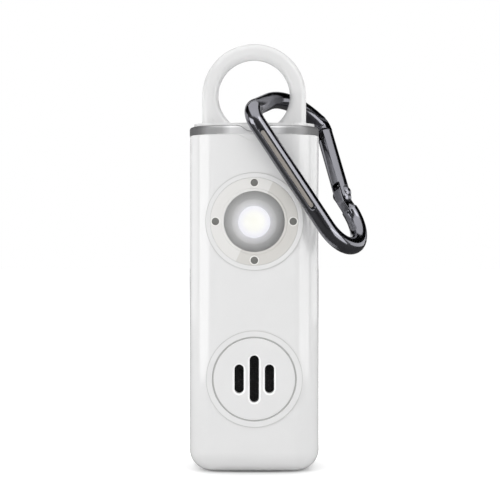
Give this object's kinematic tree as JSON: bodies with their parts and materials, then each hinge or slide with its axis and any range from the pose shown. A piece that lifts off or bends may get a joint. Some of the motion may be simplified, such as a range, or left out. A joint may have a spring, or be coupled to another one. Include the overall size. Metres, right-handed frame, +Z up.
{
  "type": "personal safety alarm",
  "caption": "Slim pocket siren with strobe lamp and slotted grille, a lift-off pull loop whose pin trips the alarm, and a black snap hook threaded through the loop.",
  "frame": {"origin": "middle of the flat base face that the alarm stands on", "axes": "+Z up through the pull loop, -Y out of the front with lamp and grille, +X to the right as seen from the front, where the hook hangs"},
  "size_m": [0.0414, 0.0272, 0.0993],
  "materials": {
    "white_abs": "gloss moulded",
    "white_loop": "gloss moulded",
    "white_inner": "satin moulded",
    "satin_band": "satin anodised",
    "ivory_bezel": "gloss moulded",
    "grey_studs": "satin",
    "clear_lens": "polished clear",
    "reflector_grey": "metallised satin",
    "led_white": "diffusing",
    "black_cloth": "fine woven",
    "black_plastic": "matt moulded",
    "brass": "bright",
    "ceramic": "fired, silvered",
    "board_green": "lacquered",
    "bright_steel": "plated",
    "black_hook": "gloss black plated"
  },
  "bodies": {
    "housing": {"front_housing": "white_abs", "rear_cover": "white_abs", "trim_band": "satin_band", "pin_guide": "white_inner", "lamp_bezel": "ivory_bezel", "bezel_studs": "grey_studs", "lamp_lens": "clear_lens", "lamp_reflector": "reflector_grey", "strobe_led": "led_white", "siren_grille": "white_abs", "grille_mesh": "black_cloth", "siren_case": "black_plastic", "sounder_disc": "brass", "piezo_element": "ceramic", "siren_pins": "bright_steel", "circuit_board": "board_green", "board_screws": "bright_steel", "boost_coil": "black_plastic", "driver_chip": "black_plastic", "coin_cells": "bright_steel", "cell_contacts": "brass", "cell_clips": "bright_steel", "trigger_switch": "black_plastic", "rear_screws": "bright_steel"},
    "pull_loop": {"pull_loop": "white_loop", "release_pin": "bright_steel"},
    "switch_plunger": {"switch_plunger": "white_inner"},
    "carabiner": {"carabiner_frame": "black_hook", "gate_rivet": "black_hook"},
    "gate": {"carabiner_gate": "black_hook", "gate_spring": "bright_steel", "gate_plunger": "bright_steel"}
  },
  "joints": [
    {"name": "pull_pin_slide", "type": "slide", "parent": "housing", "child": "pull_loop", "axis": [0, 0, 1], "range_m": [0, 0.03]},
    {"name": "switch_plunger_slide", "type": "slide", "parent": "housing", "child": "switch_plunger", "axis": [0, 0, 1], "range_m": [0, 0.001]},
    {"name": "carabiner_swing", "type": "hinge", "parent": "pull_loop", "child": "carabiner", "pos_m": [0, 0, 0.08715], "axis": [0, -1, 0], "range_deg": [0, 150]},
    {"name": "gate_hinge", "type": "hinge", "parent": "carabiner", "child": "gate", "pos_m": [0.02078, 0.00271, 0.06426], "axis": [0.714, -0.5166, 0.4726], "range_deg": [0, 12], "stiffness_Nm_per_rad": 0.02, "springref_deg": -8.59}
  ],
  "couplings": [
    {"joint": "switch_plunger_slide", "follows": "pull_pin_slide", "ratio": 0.033333}
  ]
}
